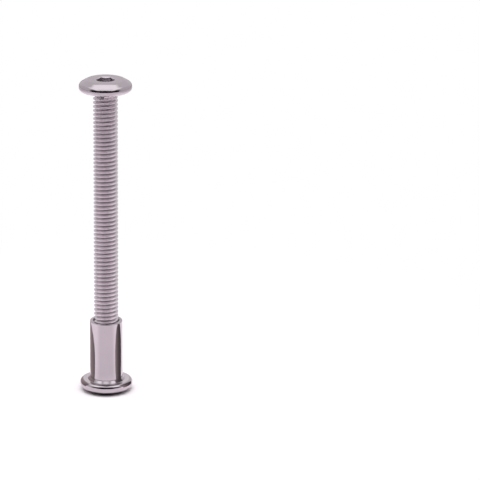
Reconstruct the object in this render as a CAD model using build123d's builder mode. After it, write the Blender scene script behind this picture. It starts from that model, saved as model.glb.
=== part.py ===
from build123d import *
import os
from math import cos, radians, tan

# Binding barrel screw. A socket screw and a blind, internally threaded barrel nut
# clamp a stack between their two heads. Both are turned and broached in one piece each.
# Millimetres. +Z runs up the common axis. The origin is the centre of the barrel nut's
# outer face, on which the pair stands, screwed together as far as it goes.

# Head, the same on both pieces: flat face, bevel, rounded rim, flat bearing face
head_diameter = 12.7
head_thickness = 2.8
bevel_width = 1.85        # radial width of the bevel, measured out to the head diameter
bevel_angle = 31          # degrees down from the outer face
rim_rounding = 1.0        # where the bevel turns into the rim
bearing_rounding = 0.8    # where the rim turns into the bearing face

# Hex socket in each head
hex_key = 4.0             # across flats
hex_depth = 2.4
hex_lead_in = 0.14        # how far the countersink reaches past the hex corners
hex_lead_in_angle = 120   # included angle of that countersink
hex_floor_angle = 130     # included angle of the conical floor

# Screw, metric coarse thread. The shank is its crest cylinder, without the helix.
thread_size = 6.0
thread_pitch = 1.0
crest_allowance = 0.1     # taken off the thread's crests, on diameter
screw_length = 70.0       # under the head
neck_length = 0.8         # unthreaded, under the head
neck_rounding = 0.3       # where the neck meets the head

# Barrel nut
barrel_diameter = 7.9     # goes through an 8 mm hole
barrel_length = 15.0      # under the head
barrel_rounding = 0.45    # where the barrel meets the head
mouth_break = 0.2         # chamfer round the barrel's outer edge, at the mouth
mouth_lead_in = 0.25      # countersink round the bore, at the mouth
bore_floor_angle = 150    # included angle the drill leaves at the bottom of the bore
web_thickness = 0.8       # metal left between the bore and the hex socket

# Fits between the two pieces
bore_clearance = 0.05     # radial, between the thread's crests and the bore
point_gap = 0.5           # between the screw's point and the full-width end of the bore

# Radii that follow from the driving dimensions
head_radius = head_diameter / 2
face_radius = head_radius - bevel_width
bevel_depth = bevel_width * tan(radians(bevel_angle))
hex_corner_radius = hex_key / 2 / cos(radians(30))
lead_in_radius = hex_corner_radius + hex_lead_in
crest_radius = (thread_size - crest_allowance) / 2
thread_depth = 0.6134 * thread_pitch                      # of a metric external thread
root_radius = crest_radius - thread_depth
neck_radius = (thread_size - 0.6495 * thread_pitch) / 2   # the wire that the thread is rolled on
run_out = crest_radius - neck_radius                      # slope of 45 degrees into the neck
barrel_radius = barrel_diameter / 2
bore_radius = crest_radius + bore_clearance
barrel_wall = barrel_radius - bore_radius

# Heights that follow, from the standing face up
hex_tip_depth = hex_depth + hex_key / 2 / tan(radians(hex_floor_angle / 2))
bore_tip_height = bore_radius / tan(radians(bore_floor_angle / 2))
bore_floor_z = hex_tip_depth + web_thickness + bore_tip_height
mouth_z = head_thickness + barrel_length
point_z = bore_floor_z + point_gap
screw_bearing_z = point_z + screw_length
top_z = screw_bearing_z + head_thickness
neck_z = screw_bearing_z - neck_length

# Head blank that both pieces start from, lying on its outer face at z = 0
with BuildPart() as head:
    with BuildSketch(Plane.XZ) as head_section:
        with BuildLine():
            Polyline(
                (0, 0),
                (face_radius, 0),
                (head_radius, bevel_depth),
                (head_radius, head_thickness),
                (0, head_thickness),
                close=True,
            )
        make_face()
        bevel_corner = head_section.vertices().group_by(Axis.X)[-1].sort_by(Axis.Y)[0]
        fillet(bevel_corner, radius=rim_rounding)
        bearing_corner = head_section.vertices().group_by(Axis.X)[-1].sort_by(Axis.Y)[-1]
        fillet(bearing_corner, radius=bearing_rounding)
    revolve(axis=Axis.Z)

# Space of the hex socket, cut into each head from z = 0: the countersink that leads the
# key in, the hex itself and the cone that the pilot drill leaves below it
with BuildPart() as socket:
    with BuildSketch():
        RegularPolygon(hex_corner_radius, 6)
    extrude(amount=hex_depth)
    with BuildSketch(Plane.XZ):
        with BuildLine():
            Polyline(
                (0, 0),
                (lead_in_radius, 0),
                (0, lead_in_radius / tan(radians(hex_lead_in_angle / 2))),
                close=True,
            )
        make_face()
        with BuildLine():
            Polyline(
                (0, hex_depth),
                (hex_key / 2, hex_depth),
                (0, hex_tip_depth),
                close=True,
            )
        make_face()
    revolve(axis=Axis.Z)

# Barrel nut, standing on its head, with the blind bore that takes the screw
with BuildPart() as barrel_nut:
    add(head.part)
    with BuildSketch(Plane.XY.offset(head_thickness)):
        Circle(barrel_radius)
    extrude(amount=barrel_length)
    mouth_edge = barrel_nut.edges().group_by(Axis.Z)[-1]
    chamfer(mouth_edge, length=min(mouth_break, barrel_wall / 3))
    rings = barrel_nut.edges().filter_by(GeomType.CIRCLE)
    fillet(rings.sort_by_distance((0, 0, head_thickness))[0], radius=barrel_rounding)
    with Locations((0, 0, mouth_z)):
        CounterSinkHole(
            radius=bore_radius,
            counter_sink_radius=bore_radius + min(mouth_lead_in, barrel_wall / 3),
            depth=mouth_z - bore_floor_z,
            counter_sink_angle=90,
        )
    with BuildSketch(Plane.XZ):
        with BuildLine():
            Polyline(
                (0, bore_floor_z),
                (bore_radius, bore_floor_z),
                (0, bore_floor_z - bore_tip_height),
                close=True,
            )
        make_face()
    revolve(axis=Axis.Z, mode=Mode.SUBTRACT)
    add(socket.part, mode=Mode.SUBTRACT)

# Socket screw, head up, its point just short of the bore's floor
with BuildPart() as socket_screw:
    with BuildSketch(Plane.XZ):
        with BuildLine():
            Polyline(
                (0, point_z),
                (root_radius, point_z),
                (crest_radius, point_z + thread_depth),
                (crest_radius, neck_z - run_out),
                (neck_radius, neck_z),
                (neck_radius, screw_bearing_z),
                (0, screw_bearing_z),
                close=True,
            )
        make_face()
    revolve(axis=Axis.Z)
    with Locations(Location((0, 0, top_z), (180, 0, 0))):
        add(head.part)
    rings = socket_screw.edges().filter_by(GeomType.CIRCLE)
    fillet(rings.sort_by_distance((0, 0, screw_bearing_z))[0], radius=neck_rounding)
    with Locations(Location((0, 0, top_z), (180, 0, 0))):
        add(socket.part, mode=Mode.SUBTRACT)

os.makedirs("parts", exist_ok=True)
barrel_nut.part.label = "barrel_nut"
export_step(barrel_nut.part, "parts/barrel_nut.step")
socket_screw.part.label = "socket_screw"
export_step(socket_screw.part, "parts/socket_screw.step")
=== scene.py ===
from math import cos, radians, tan

import bpy
import numpy as np
from mathutils import Matrix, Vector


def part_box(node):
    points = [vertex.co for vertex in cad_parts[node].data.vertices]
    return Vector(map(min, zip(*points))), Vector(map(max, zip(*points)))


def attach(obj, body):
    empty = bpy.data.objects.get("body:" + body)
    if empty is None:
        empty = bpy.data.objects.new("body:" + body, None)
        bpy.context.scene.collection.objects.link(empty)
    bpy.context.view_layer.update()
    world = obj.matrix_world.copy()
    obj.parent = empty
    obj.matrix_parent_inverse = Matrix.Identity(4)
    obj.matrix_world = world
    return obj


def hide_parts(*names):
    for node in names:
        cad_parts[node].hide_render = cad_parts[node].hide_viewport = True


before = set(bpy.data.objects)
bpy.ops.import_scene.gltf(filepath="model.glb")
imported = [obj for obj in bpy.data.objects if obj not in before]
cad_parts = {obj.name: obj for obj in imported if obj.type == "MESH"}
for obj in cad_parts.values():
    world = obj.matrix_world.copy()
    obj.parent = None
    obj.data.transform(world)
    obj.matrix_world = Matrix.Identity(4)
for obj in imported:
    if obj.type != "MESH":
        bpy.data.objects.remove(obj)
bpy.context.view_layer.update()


# ---------------------------------------------------------------------------
# Barrel nut. Turned from stainless bar in one piece: flat head, polished barrel, blind
# bore tapped M6 and opened at the mouth, 4 mm hex broached into the outer face. It
# stands on that face. All sizes are in millimetres until the mesh is made.

nut_low, nut_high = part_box("barrel_nut")
head_radius = (nut_high.x - nut_low.x) / 2 * 1000
mouth_z = nut_high.z * 1000
head_thickness = 2.8
bevel_width = 1.85
bevel_angle = radians(31)
crown_rounding = 1.6                # where the outer face turns into the bevel
rim_rounding = 1.0                  # where the bevel turns into the rim
bearing_rounding = 0.8              # where the rim turns into the bearing face
bearing_middle = 5.2                # radius of a row in the middle of the bearing face
hex_key = 4.0                       # across flats
hex_depth = 2.4
hex_lead_in = 0.14                  # how far its countersink reaches past its corners
hex_lead_in_slope = radians(60)     # of the countersink's side, from the axis
hex_edge = 0.02                     # half the width of the countersink's softened edge
hex_edge_rounding = 0.06
hex_floor_slope = radians(65)       # of the conical floor's side, from the axis
web_thickness = 0.8                 # metal left between the socket and the bore
barrel_radius = 3.95
foot_width = 0.53                   # of the 45 degree cone round the barrel's foot
foot_roundings = 0.08, 0.1          # at the bearing face and at the barrel
bore_radius = 3.0
bore_floor_slope = radians(75)      # of the drilled floor's side, from the axis
mouth_rounding = 0.2
mouth_radius = 3.25                 # wide end of the 45 degree countersink at the mouth
mouth_depth = 0.23                  # of that countersink above the thread
mouth_edge_rounding = 0.05
thread_pitch = 1.0
thread_gap = 0.03                   # between a thread's end ring and the plain row next to it
helix_zero = 4.98                   # height at which a crest passes the +X side
columns = 96                        # faces round each turned surface

turn = np.arange(columns) * (2 * np.pi / columns)
face_radius = head_radius - bevel_width
bevel_depth = bevel_width * tan(bevel_angle)
lead_in_radius = hex_key / 2 / cos(radians(30)) + hex_lead_in
socket_tip_depth = hex_depth + hex_key / 2 / tan(hex_floor_slope)
bore_tip_z = socket_tip_depth + web_thickness
bore_floor_z = bore_tip_z + bore_radius / tan(bore_floor_slope)


def rounded_profile(corners, step=radians(12), long_run=0.2, inset=0.03):
    """Line through (radius, height, rounding) corners. Each corner with a rounding is
    swapped for the arc that touches both of its sides, with a point every 12 degrees, and
    every longer straight run gets two more points, close to its ends, to keep it flat."""
    corners = np.asarray(corners, float)
    line = [corners[:1, :2]]
    for before, corner, after in zip(corners[:-2], corners[1:-1], corners[2:]):
        a = (before - corner)[:2] / np.hypot(*(before - corner)[:2])
        b = (after - corner)[:2] / np.hypot(*(after - corner)[:2])
        bend = np.arccos(np.clip(-a @ b, -1, 1))
        if corner[2] == 0 or bend < 1e-6:
            line.append(corner[None, :2])
            continue
        reach = corner[2] * np.tan(bend / 2)
        middle = corner[:2] + (a + b) / np.hypot(*(a + b)) * corner[2] / np.cos(bend / 2)
        start = corner[:2] + a * reach - middle
        finish = corner[:2] + b * reach - middle
        side = np.sign(start[0] * finish[1] - start[1] * finish[0])
        sweep = np.linspace(0, bend, max(2, int(np.ceil(bend / step)) + 1)) * side
        spun = np.stack([
            start[0] * np.cos(sweep) - start[1] * np.sin(sweep),
            start[0] * np.sin(sweep) + start[1] * np.cos(sweep)], axis=1)
        line.append(middle + spun)
    line.append(corners[-1:, :2])
    line = np.concatenate(line)
    runs = np.diff(line, axis=0)
    lengths = np.hypot(runs[:, 0], runs[:, 1])
    long_runs = np.flatnonzero(lengths > long_run)
    unit = runs[long_runs] / lengths[long_runs, None]
    extra = np.stack([line[long_runs] + unit * inset,
                      line[long_runs + 1] - unit * inset], axis=1)
    return np.insert(line, np.repeat(long_runs + 1, 2), extra.reshape(-1, 2), axis=0)


def round_rows(line):
    """Radii and heights of round rows, one row for each point of a (radius, height) line,
    with the same value at every angle round."""
    return line[:, :1] * np.ones(columns), line[:, 1:] * np.ones(columns)


def hex_radius():
    """Distance from the axis to a hexagon's side at each angle round: half the size across
    the flats over the cosine of the angle from the middle of the nearest flat."""
    from_corner = np.abs((turn + radians(30)) % radians(60) - radians(30))
    return hex_key / 2 / np.cos(from_corner - radians(30))


def head_rows():
    """Radius and depth below the outer face for every row of the head, from near the tip
    of the socket's cone to the bearing face, one value for each angle round, and the
    number of the socket's last row. The hex's rows follow the hexagon: down its walls by
    a share of their depth, and out over its countersink by a share of the way from the
    hexagon to the countersink's circle. All other rows are round."""
    hexagon = hex_radius()
    lead_in_depth = (lead_in_radius - hexagon) / np.tan(hex_lead_in_slope)
    cone = np.array([0.25, 0.5, 0.75, 0.95, 0.98])[:, None] * hex_key / 2 * np.ones(columns)
    cone_depth = hex_depth + (hex_key / 2 - cone) / np.tan(hex_floor_slope)
    up = np.array([0, 0.02, 0.35, 0.7, 0.98, 1])[:, None]
    wall = np.ones_like(up) * hexagon
    wall_depth = hex_depth + (lead_in_depth - hex_depth) * up
    out = np.array([0.12, 0.5, 0.88])[:, None]
    lead_in = hexagon + (lead_in_radius - hexagon) * out
    face_radii, face_depths = round_rows(rounded_profile([
        (lead_in_radius - hex_edge, hex_edge / np.tan(hex_lead_in_slope), 0),
        (lead_in_radius + hex_edge, 0, hex_edge_rounding),
        (face_radius, 0, crown_rounding),
        (head_radius, bevel_depth, rim_rounding),
        (head_radius, head_thickness, bearing_rounding),
        (bearing_middle, head_thickness, 0)]))
    return (np.concatenate([cone, wall, lead_in, face_radii]),
            np.concatenate([cone_depth, wall_depth, lead_in_depth * (1 - out), face_depths]),
            len(cone) + len(wall) + len(lead_in) - 1)


def place_rows(radius, height):
    """Points of rows round the axis: x is the radius times the cosine of the angle, y is
    the radius times its sine, and z is the height."""
    return np.stack([radius * np.cos(turn), radius * np.sin(turn),
                     np.broadcast_to(height, radius.shape)], axis=-1).reshape(-1, 3)


def row_numbers(first, count):
    """Vertex numbers of rows that were placed one after the other from a first number."""
    return first + np.arange(count * columns).reshape(count, columns)


def between(row, next_row):
    """Four-sided faces that join two closed rows of vertex numbers."""
    return np.stack([row, np.roll(row, -1, -1), np.roll(next_row, -1, -1), next_row],
                    axis=-1).reshape(-1, 4)


def band(rows, first, last):
    """Faces that join the rows of vertex numbers from the first to the last, in order."""
    return between(rows[first:last], rows[first + 1:last + 1])


def fan(tip, row):
    """Three-sided faces that join a closed row of vertex numbers to one vertex."""
    return np.stack([np.full(columns, tip), np.roll(row, -1), row], axis=1)


def helix_surface(form, low_z, high_z, envelope, first):
    """Screw surface between two flat rings. Its lines run along the helix: a point lies at
    the angle of its column, at the height of that column's place on the helix plus the
    height of its mark in the thread's form, and at the form's radius there, as the
    envelope allows. A wedge of the same marks, squeezed to nothing at one end, brings
    each end of the helix to its ring. Returns points, faces, slivers and both rings."""
    marks, radii = np.asarray(form).T
    rise = marks - marks[0]
    count = len(marks)
    start = round(columns * ((low_z - helix_zero) / thread_pitch - marks[0]))
    low_z = helix_zero + thread_pitch * (marks[0] + start / columns)
    last = round(columns * ((high_z - low_z) / thread_pitch - 1))

    def points(column, height):
        """Points at the angle of each column, at the radius that the form has there: its
        phase is the height in pitches less the turns made."""
        phase = (height - helix_zero) / thread_pitch - (column + start) / columns
        radius = envelope(np.interp(phase, marks, radii, period=1), height)
        angle = (column + start) * (2 * np.pi / columns)
        return np.stack([radius * np.cos(angle), radius * np.sin(angle), height], axis=-1)

    def cells(grid):
        """Four-sided faces between neighbours in a grid of vertex numbers."""
        return np.stack([grid[:-1, :-1], grid[1:, :-1], grid[1:, 1:], grid[:-1, 1:]],
                        axis=-1).reshape(-1, 4)

    column = np.arange(last + 1)[:, None] * np.ones(count)
    height = low_z + thread_pitch * (column / columns + rise)
    body = points(column, height).reshape(-1, 3)
    column = np.arange(last + 1, last + columns + 1)
    ahead = points(column.astype(float), low_z + thread_pitch * column / columns)
    column = np.arange(1, columns)[:, None] * np.ones(count)
    low = points(column, low_z + thread_pitch * column / columns * rise).reshape(-1, 3)
    top_rise = np.append(rise[1:], 1.0)
    ends = (last + column) / columns + (1 - column / columns) * top_rise
    high = points(column + last, low_z + thread_pitch * ends).reshape(-1, 3)

    body_no = first + np.arange((last + 1) * count).reshape(last + 1, count)
    ahead_no = first + len(body) + np.arange(columns)
    low_no = ahead_no[-1] + 1 + np.arange((columns - 1) * count).reshape(columns - 1, count)
    high_no = low_no[-1, -1] + 1 + np.arange((columns - 1) * count).reshape(columns - 1, count)
    leading = np.append(body_no[:, 0], ahead_no)
    grid = np.column_stack([body_no, leading[columns:]])
    low_grid = np.concatenate([
        np.full((1, count + 1), body_no[0, 0]),
        np.column_stack([low_no, leading[1:columns]]), grid[:1]])
    high_grid = np.concatenate([
        grid[-1:], np.column_stack([leading[last + 1:last + columns], high_no]),
        np.full((1, count + 1), leading[-1])])
    faces = np.concatenate([cells(grid), cells(low_grid[1:]), cells(high_grid[:-1])])
    slivers = np.concatenate([
        np.stack([low_grid[0, :-1], low_grid[1, :-1], low_grid[1, 1:]], axis=-1),
        np.stack([high_grid[-2, :-1], high_grid[-1, :-1], high_grid[-2, 1:]], axis=-1)])
    low_ring = np.roll(low_grid[:-1, 0], start % columns)
    high_ring = np.roll(high_grid[:-1, -1], (start + last) % columns)
    return np.concatenate([body, ahead, low, high]), faces, slivers, low_ring, high_ring


def steel_piece(name, points, face_groups):
    """One closed mesh from points in millimetres and groups of faces, each with its
    material. Curves are shaded smooth, and edges over 35 degrees stay crisp."""
    materials = list(dict.fromkeys(material for _, material in face_groups))
    faces = [face for group, _ in face_groups for face in group.tolist()]
    numbers = np.concatenate([np.full(len(group), materials.index(material))
                              for group, material in face_groups])
    mesh = bpy.data.meshes.new(name)
    mesh.from_pydata((points / 1000).tolist(), [], faces)
    mesh.polygons.foreach_set("material_index", numbers.astype(np.int32))
    mesh.polygons.foreach_set("use_smooth", np.ones(len(numbers), bool))
    for material in materials:
        mesh.materials.append(material)
    mesh.update()
    mesh.set_sharp_from_angle(angle=radians(35))
    piece = bpy.data.objects.new(name, mesh)
    bpy.context.scene.collection.objects.link(piece)
    piece.modifiers.new("even_shading", "WEIGHTED_NORMAL").keep_sharp = True
    return piece


def fill(tree, node, inputs):
    """Sets a node's inputs, by name or number: an output is linked, a plain value is set."""
    for name, value in inputs.items():
        if isinstance(value, bpy.types.NodeSocket):
            tree.links.new(value, node.inputs[name])
        else:
            node.inputs[name].default_value = value


def add_node(tree, kind, inputs=None, output=0, **settings):
    """A new node with its settings and inputs. Gives back one of its outputs."""
    node = tree.nodes.new("ShaderNode" + kind)
    for name, value in settings.items():
        setattr(node, name, value)
    fill(tree, node, inputs or {})
    return node.outputs[output]


def from_axis(tree, place):
    """Distance of a place from the part's axis: its length once its height is left out."""
    level = add_node(tree, "VectorMath", {0: place, 1: (1, 1, 0)}, operation="MULTIPLY")
    return add_node(tree, "VectorMath", {0: level}, "Value", operation="LENGTH")


def steel(name, colour, roughness, lines, line_width, line_depth, cloud):
    """Bare stainless steel. Fine tool lines are a one-way noise of the radius on a "face" or
    of the height on a "side", so many millimetres wide and thousandths of one deep. A soft
    cloud of noise takes the colour from 0.93 to 1.05 of itself, and the roughness down and
    up by the cloud's strength."""
    material = bpy.data.materials.new(name)
    material.use_nodes = True
    tree = material.node_tree
    place = add_node(tree, "TexCoord", output="Object")
    patches = add_node(tree, "TexNoise", {"Vector": place, "Scale": 260, "Detail": 5}, "Fac")
    tint = add_node(tree, "Mix", {
        "Factor": patches,
        "A": (*[part * 0.93 for part in colour], 1),
        "B": (*[part * 1.05 for part in colour], 1)}, "Result", data_type="RGBA")
    dull = add_node(tree, "MapRange", {
        "Value": patches, "From Min": 0.3, "From Max": 0.7,
        "To Min": roughness - cloud, "To Max": roughness + cloud}, "Result")
    if lines == "face":
        across = from_axis(tree, place)
    else:
        across = add_node(tree, "SeparateXYZ", {"Vector": place}, "Z")
    tool = add_node(tree, "TexNoise", {
        "W": across, "Scale": 1000 / line_width, "Detail": 3}, "Fac", noise_dimensions="1D")
    bump = add_node(tree, "Bump", {
        "Height": tool, "Strength": 1.0, "Distance": line_depth * 1e-6}, "Normal")
    fill(tree, tree.nodes["Principled BSDF"], {
        "Metallic": 1.0, "Base Color": tint, "Roughness": dull, "Normal": bump})
    return material


head_steel = (0.57, 0.54, 0.56)
# Painted light: the sockets' steel is lighter than the head's, so their shaded insides read
# lighter.
socket_lightened_steel = (0.66, 0.625, 0.65)
# Painted light: the bearing face's steel is lighter than the head's, so the ring round the barrel
# reads brighter.
seat_lightened_steel = (0.74, 0.7, 0.72)
bore_darkened_steel = (0.16, 0.145, 0.155)      # painted shade: far darker than bare steel, so the bore and the mouth's countersink read as a dark hollow
turned = dict(roughness=0.26, lines="face", line_width=0.14, line_depth=2.0, cloud=0.04)
broached = dict(roughness=0.3, lines="side", line_width=0.2, line_depth=3.0, cloud=0.03)
nut_polish = steel("nut_polished_side", head_steel, roughness=0.08, lines="side",
                   line_width=0.12, line_depth=0.6, cloud=0.02)
nut_face = steel("nut_turned_face", head_steel, **turned)
nut_seat = steel("nut_bearing_face", seat_lightened_steel, roughness=0.2, lines="face",
                 line_width=0.14, line_depth=1.0, cloud=0.03)
nut_socket = steel("nut_broached_socket", socket_lightened_steel, **broached)
nut_bore = steel("nut_tapped_bore", bore_darkened_steel, roughness=0.32, lines="side",
                 line_width=0.2, line_depth=3.0, cloud=0.03)

head_radii, head_depths, socket_row = head_rows()
# the turned outer face ends at the last row inside the bevel's crown
crown_row = int(np.flatnonzero(head_radii[:, 0] > face_radius + 0.05)[0]) - 1
side_radii, side_heights = round_rows(rounded_profile([
    (bearing_middle, head_thickness, 0),
    (barrel_radius + foot_width, head_thickness, foot_roundings[0]),
    (barrel_radius, head_thickness + foot_width, foot_roundings[1]),
    (barrel_radius, mouth_z, mouth_rounding),
    (mouth_radius, mouth_z, mouth_edge_rounding),
    (mouth_radius - mouth_depth, mouth_z - mouth_depth, 0)])[1:])
nut_radii = np.concatenate([head_radii, side_radii])
nut_heights = np.concatenate([head_depths, side_heights])
nut_points = place_rows(nut_radii, nut_heights)
nut_numbers = row_numbers(0, len(nut_radii))
# rows of the flat bearing face, from the rim's rounding to the foot's
on_seat = ((nut_heights[:, 0] > head_thickness - 1e-4)
           & (nut_radii[:, 0] > barrel_radius + foot_width + 0.02))
seat_first, seat_last = np.flatnonzero(on_seat)[[0, -1]]
# the last three bands are the mouth's countersink
mouth_last = len(nut_radii) - 1
mouth_first = mouth_last - 3

# Nut's thread as (pitches, radius) marks over one pitch: ridges between 60 degree flanks,
# from the relief above the bore's floor to the countersink.
nut_thread_form = [(-0.0746, 3.0), (0.0746, 3.0), (0.12, 2.92), (0.387, 2.459),
                   (0.613, 2.459), (0.88, 2.92)]
relief = 0.1


def nut_envelope(radius, height):
    """The mouth's 45 degree countersink cuts the ridges back, and they fade out over one
    pitch above the floor's relief."""
    radius = np.maximum(radius, mouth_radius - (mouth_z - height))
    fade = np.clip((height - bore_floor_z - relief) / thread_pitch, 0, 1)
    return bore_radius + (radius - bore_radius) * np.where(radius < bore_radius, fade, 1)


bore_points, bore_faces, bore_slivers, bore_low, bore_high = helix_surface(
    nut_thread_form, bore_floor_z + thread_gap, mouth_z - mouth_depth - thread_gap,
    nut_envelope, len(nut_points))
floor_first = len(nut_points) + len(bore_points)
floor_share = np.array([1, 0.67, 0.33, 0.1])[:, None] * np.ones(columns)
floor_points = place_rows(bore_radius * floor_share,
                          bore_tip_z + (bore_floor_z - bore_tip_z) * floor_share)
floor_numbers = row_numbers(floor_first, len(floor_share))
socket_tip = floor_first + len(floor_points)
bore_tip = socket_tip + 1
barrel_nut = steel_piece(
    "barrel_nut_turned",
    np.concatenate([nut_points, bore_points, floor_points,
                    [[0, 0, socket_tip_depth], [0, 0, bore_tip_z]]]),
    [(fan(socket_tip, nut_numbers[0]), nut_socket),
     (band(nut_numbers, 0, socket_row), nut_socket),
     (band(nut_numbers, socket_row, crown_row), nut_face),
     (band(nut_numbers, crown_row, seat_first), nut_polish),
     (band(nut_numbers, seat_first, seat_last), nut_seat),
     (band(nut_numbers, seat_last, mouth_first), nut_polish),
     # The mouth's countersink takes the bore's darkened steel: painted shade round the mouth.
     (band(nut_numbers, mouth_first, mouth_last), nut_bore),
     (between(nut_numbers[-1], bore_high), nut_bore),
     (bore_faces[:, ::-1], nut_bore),
     (bore_slivers[:, ::-1], nut_bore),
     (between(bore_low, floor_numbers[0]), nut_bore),
     (band(floor_numbers, 0, len(floor_numbers) - 1), nut_bore),
     (fan(bore_tip, floor_numbers[-1])[:, ::-1], nut_bore)])
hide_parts("barrel_nut")
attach(barrel_nut, "barrel")


# ---------------------------------------------------------------------------
# Socket screw. Cold-formed from stainless wire: the same flat head with a broached hex, a
# short plain neck, and an M6 coarse thread rolled down the whole shank. It is run into the
# barrel nut until its point is just short of the bore's floor.

screw_low, screw_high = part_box("socket_screw")
point_z = screw_low.z * 1000
top_z = screw_high.z * 1000
bearing_z = top_z - head_thickness
neck_length = 0.8
neck_radius = 2.675
neck_rounding = 0.3
run_out = 0.8                           # length over which the thread fades into the neck
root_radius = 2.337
neck_z = bearing_z - neck_length
neck_start_z = neck_z + 0.02            # just clear of the thread's upper end ring
thread_start_z = point_z + 0.01         # just clear of the flat point

# Screw's thread as (pitches, radius) marks over one pitch: a rounded crest, 60 degree
# flanks and a rounded root.
screw_thread_form = [
    (-0.06, 2.95), (0.06, 2.95), (0.086, 2.943), (0.104, 2.9235), (0.3764, 2.411),
    (0.428, 2.357), (0.5, root_radius), (0.572, 2.357), (0.6236, 2.411), (0.896, 2.9235),
    (0.914, 2.943)]


def screw_envelope(radius, height):
    """The point's 45 degree chamfer cuts the thread, and it runs out into the neck."""
    radius = np.minimum(radius, root_radius + (height - point_z))
    fade = np.clip((neck_z - height) / run_out, 0, 1)
    return neck_radius + (radius - neck_radius) * fade


def smooth_step(tree, value, start, finish, lowest=0.0):
    """The lowest value up to the start, 1 from the finish on, and an S-shaped rise."""
    return add_node(tree, "MapRange", {
        "Value": value, "From Min": start, "From Max": finish, "To Min": lowest},
        "Result", interpolation_type="SMOOTHSTEP")


# Painted light: the thread's steel is lighter than the head's, so the thread reads brighter.
thread_lightened_steel = (0.7, 0.66, 0.685)
screw_face = steel("screw_turned_face", head_steel, **turned)
screw_rim = steel("screw_polished_rim", head_steel, roughness=0.09, lines="side",
                  line_width=0.12, line_depth=0.6, cloud=0.02)
screw_socket = steel("screw_broached_socket", socket_lightened_steel, **broached)
screw_thread = steel("screw_rolled_thread", thread_lightened_steel, roughness=0.18, lines="side",
                     line_width=0.15, line_depth=1.0, cloud=0.05)

# Painted shade: the thread's roots are darkened to 0.7 of the steel's colour, darker than its
# flanks and crests.
tree = screw_thread.node_tree
reach = from_axis(tree, add_node(tree, "TexCoord", output="Object"))
root_shade = smooth_step(tree, reach, 0.00238, 0.00262, lowest=0.7)
metal_colour = tree.nodes["Principled BSDF"].inputs["Base Color"]
darkened_root_colour = add_node(tree, "VectorMath", {
    "Vector": metal_colour.links[0].from_socket, "Scale": root_shade}, "Vector", operation="SCALE")
tree.links.new(darkened_root_colour, metal_colour)

point_radii = np.array([0.6, 1.4, 2.25, 2.3])[:, None] * np.ones(columns)
point_points = place_rows(point_radii, point_z)
point_numbers = row_numbers(0, len(point_radii))
thread_points, thread_faces, thread_slivers, thread_low, thread_high = helix_surface(
    screw_thread_form, thread_start_z, neck_z, screw_envelope, len(point_points))
neck_first = len(point_points) + len(thread_points)
neck_radii, neck_heights = round_rows(rounded_profile([
    (neck_radius, neck_start_z, 0),
    (neck_radius, bearing_z, neck_rounding),
    (bearing_middle, bearing_z, 0)])[:-1])
screw_radii = np.concatenate([neck_radii, head_radii[::-1]])
screw_heights = np.concatenate([neck_heights, top_z - head_depths[::-1]])
screw_points = place_rows(screw_radii, screw_heights)
screw_numbers = row_numbers(neck_first, len(screw_radii))
last_row = len(screw_radii) - 1
point_tip = neck_first + len(screw_points)
top_tip = point_tip + 1
socket_screw = steel_piece(
    "socket_screw_threaded",
    np.concatenate([point_points, thread_points, screw_points,
                    [[0, 0, point_z], [0, 0, top_z - socket_tip_depth]]]),
    [(fan(point_tip, point_numbers[0]), screw_thread),
     (band(point_numbers, 0, len(point_numbers) - 1), screw_thread),
     (between(point_numbers[-1], thread_low), screw_thread),
     (thread_faces, screw_thread),
     (thread_slivers, screw_thread),
     (between(thread_high, screw_numbers[0]), screw_thread),
     (band(screw_numbers, 0, last_row - crown_row), screw_rim),
     (band(screw_numbers, last_row - crown_row, last_row - socket_row), screw_face),
     (band(screw_numbers, last_row - socket_row, last_row), screw_socket),
     (fan(top_tip, screw_numbers[-1])[:, ::-1], screw_socket)])
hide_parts("socket_screw")
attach(socket_screw, "screw")


# ---------------------------------------------------------------------------
# Studio. The pair stands on a white table under one soft lamp, in a tent with bright panels
# overhead, a pale wall behind and dark cloth round the viewer. Three glowing cards, which only the
# metal shows, paint dark reflections at its edges. Metres from here on.

panel_tint = (1.0, 0.94, 0.985)
table_tint = (1.0, 0.915, 0.975)
card_glow_tint = (1.0, 0.8, 0.83)


def grey(level, tint=panel_tint):
    """One of the studio's greys: a level of brightness times a tint."""
    return tuple(level * part for part in tint) + (1.0,)


def ramp(tree, value, stops, tint=panel_tint):
    """Greys that follow a value through (place, level) stops."""
    bands = tree.nodes.new("ShaderNodeValToRGB")
    elements = bands.color_ramp.elements
    for stop, (place, level) in zip(elements, (stops[0], stops[-1])):
        stop.position, stop.color = place, grey(level, tint)
    for place, level in stops[1:-1]:
        elements.new(place).color = grey(level, tint)
    fill(tree, bands, {"Fac": value})
    return bands.outputs["Color"]


def maths(tree, operation, *values):
    """One step of arithmetic in a material, on numbers or other outputs."""
    return add_node(tree, "Math", dict(enumerate(values)), operation=operation)


def blend(tree, factor, first, second):
    """Colour that goes from the first to the second as the factor goes from 0 to 1."""
    return add_node(tree, "Mix", {"Factor": factor, "A": first, "B": second}, "Result",
                    data_type="RGBA")


def bare_tree(owner):
    """The emptied node tree of a material or a world."""
    owner.use_nodes = True
    owner.node_tree.nodes.clear()
    return owner.node_tree


def show(tree, shader, output="OutputMaterial"):
    """Links a shader to the surface of a new output."""
    fill(tree, tree.nodes.new("ShaderNode" + output), {"Surface": shader})


def flat_sheet(name, corners, material):
    """One flat face of the studio through corners in metres."""
    mesh = bpy.data.meshes.new(name)
    mesh.from_pydata(corners, [], [tuple(range(len(corners)))])
    mesh.materials.append(material)
    sheet = bpy.data.objects.new(name, mesh)
    bpy.context.scene.collection.objects.link(sheet)
    return sheet
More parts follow.
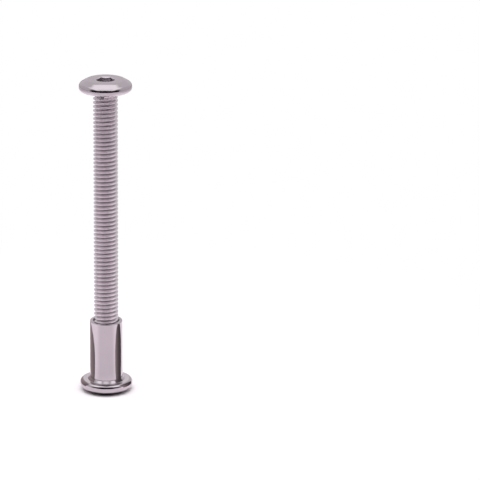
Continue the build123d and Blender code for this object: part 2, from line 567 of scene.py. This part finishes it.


# To the camera the table is white, and plain white away from the screw and its shadow. What the
# metal
# shows of it is a painted reflection: a little darker in front and far off, a painted shade right
# under the head, and nearly black from 0.4 m in front, a painted dark strip in place of cloth.
table_half = 3.0
table_white = (0.82, 0.81, 0.82, 1)
painted_shade_reach = 0.02                      # distance from the axis at which the stops end
painted_shade_stops = (0.0, 0.3), (0.28, 0.3), (0.33, 0.78), (0.9, 0.6), (1.0, 0.6)
paper = bpy.data.materials.new("white_table")
tree = bare_tree(paper)
place = add_node(tree, "TexCoord", output="Object")
away = add_node(tree, "VectorMath", {0: place}, "Value", operation="LENGTH")
ahead = maths(tree, "MULTIPLY", add_node(tree, "SeparateXYZ", {"Vector": place}, "Y"), -1.0)
camera_ray = add_node(tree, "LightPath", output="Is Camera Ray")
facing = maths(tree, "MAXIMUM",
               smooth_step(tree, maths(tree, "DIVIDE", ahead, away), 0.3, 0.85),
               smooth_step(tree, away, 0.14, 0.24))
# Painted shade: out to 5.6 mm from the axis the metal sees the table at only 0.3.
under = ramp(tree, maths(tree, "DIVIDE", away, painted_shade_reach), painted_shade_stops, table_tint)
painted_shades_in_metal = blend(tree, facing, grey(0.8, table_tint), under)
# Painted dark reflection: from 0.38 m in front the metal sees the table nearly black.
table_as_metal_sees_it = blend(tree, smooth_step(tree, ahead, 0.38, 0.44), painted_shades_in_metal, grey(0.01))
shade = add_node(tree, "BsdfDiffuse", {"Color": blend(tree, camera_ray, table_as_metal_sees_it, table_white)})
bright = add_node(tree, "Emission")
plain = maths(tree, "MULTIPLY", camera_ray, smooth_step(tree, away, 0.03, 0.12))
show(tree, add_node(tree, "MixShader", {0: plain, 1: shade, 2: bright}))
flat_sheet("table", [(-table_half, -table_half, 0), (table_half, -table_half, 0),
                     (table_half, table_half, 0), (-table_half, table_half, 0)], paper)


def reflection_card(name, corners, stops):
    """A flat glowing card through corners in millimetres that only the metal shows: a painted dark
    reflection. Its greys follow the stops from 10 mm in front of the axis, 0, to 10 mm behind it,
    1."""
    reflection_glow = bpy.data.materials.new(name)
    tree = bare_tree(reflection_glow)
    place = add_node(tree, "TexCoord", output="Object")
    depth = add_node(tree, "SeparateXYZ", {"Vector": place}, "Y")
    share = maths(tree, "MULTIPLY_ADD", depth, 50.0, 0.5)
    show(tree, add_node(tree, "Emission", {"Color": ramp(tree, share, stops, card_glow_tint)}))
    card = flat_sheet(name, (np.asarray(corners) / 1000).tolist(), reflection_glow)
    card.visible_camera = card.visible_diffuse = card.visible_shadow = False


# An upright ellipse on the right and a bowed shape, turned a little, on the left paint dark
# reflections along the polished barrel's edges, in place of other things on the table. The third
# card stands across the viewer's side and paints the black reflected line round both heads' rims.
around = np.linspace(0, 2 * np.pi, 32, endpoint=False)
ellipse = np.column_stack([np.full(32, 10.5), -1 + 5.6 * np.cos(around), 6 + 9.5 * np.sin(around)])
reflection_card("right_dark_reflection", ellipse, ((0.2, 0.4), (0.36, 0.18), (0.5, 0.09), (1.0, 0.09)))
bow = np.array([[-2.2, -1], [-3.2, 1.5], [-3.7, 4], [-3.5, 6.5], [-2.6, 9], [-0.6, 11.5],
                [3, 13.5], [8, 14.5], [17, 14.5], [17, -1]])
reflection_card("left_dark_reflection", np.column_stack([-12 + (bow[:, 0] + 3.7) * 0.145, bow]),
          ((0.34, 0.17), (0.5, 0.28), (0.8, 0.4), (1.0, 0.4)))
reflection_card("viewer_dark_reflection", [(-150, -77, 62), (150, -77, 62), (150, -77, 136), (-150, -77, 136)],
          ((0.0, 0.01), (1.0, 0.01)))

# The tent's panels lie across the view, by the angle over the viewer's horizon: 0 is at the
# viewer, 0.5 overhead and 1 at the far wall. A grey gap parts them near the middle. Past
# their ends the tent is grey, and low on the viewer's side it is dark cloth.
cloth_level = 0.004
near_stops = (0.0, cloth_level), (0.24, cloth_level), (0.26, 0.95)
gap_stops = (0.385, 0.95), (0.4, 0.36), (0.455, 0.36), (0.47, 0.95)
far_stops = (0.625, 0.95), (0.665, 0.52), (1.0, 0.5)
tent_strength = 1.4
tent_white = (0.714, 0.714, 0.714, 1)       # white to the camera, at the tent's strength
world = bpy.data.worlds.new("tent")
bpy.context.scene.world = world
tree = bare_tree(world)
toward = add_node(tree, "TexCoord", output="Generated")
aside, back, up = (add_node(tree, "SeparateXYZ", {"Vector": toward}, axis) for axis in "XYZ")
angle = maths(tree, "ARCTAN2", up, maths(tree, "MULTIPLY", back, -1.0))
over = maths(tree, "DIVIDE", angle, np.pi)
sideways = maths(tree, "ABSOLUTE", aside)
panels = blend(tree, smooth_step(tree, sideways, 0.25, 0.42),
               ramp(tree, over, near_stops + gap_stops + far_stops),
               ramp(tree, over, near_stops + far_stops))
walls = blend(tree, smooth_step(tree, sideways, 0.5, 0.7), panels, grey(0.45))
low = maths(tree, "SUBTRACT", 1.0, smooth_step(tree, up, 0.55, 0.7))
near = maths(tree, "MULTIPLY", smooth_step(tree, up, 0.1, 0.3),
             maths(tree, "SUBTRACT", 1.0, smooth_step(tree, back, -0.45, -0.2)))
tent = blend(tree, maths(tree, "MULTIPLY", low, near), walls, grey(cloth_level))
camera_ray = add_node(tree, "LightPath", output="Is Camera Ray")
show(tree, add_node(tree, "Background", {
    "Color": blend(tree, camera_ray, tent, tent_white), "Strength": tent_strength}), "OutputWorld")

lamp_data = bpy.data.lights.new("soft_lamp", "AREA")
lamp_data.shape = "SQUARE"
lamp_data.size = 0.5
lamp_data.energy = 2.5
lamp = bpy.data.objects.new("soft_lamp", lamp_data)
lamp.location = (0.005, -0.14, 0.5)
lamp.visible_glossy = False
bpy.context.scene.collection.objects.link(lamp)

# A long lens looks down at the pair, rolled by about half a degree.
eye = (0.032287, -0.825296, 0.304159)
looking_down = radians(17.85)
roll = radians(0.494)
lens = bpy.data.cameras.new("camera")
lens.lens = 270
lens.sensor_width = 36
lens.clip_start, lens.clip_end = 0.01, 20
camera = bpy.data.objects.new("camera", lens)
camera.matrix_world = (Matrix.Translation(eye)
                       @ Matrix.Rotation(radians(90) - looking_down, 4, "X")
                       @ Matrix.Rotation(roll, 4, "Z"))
bpy.context.scene.collection.objects.link(camera)
bpy.context.scene.camera = camera
bpy.context.scene.view_settings.view_transform = "Standard"
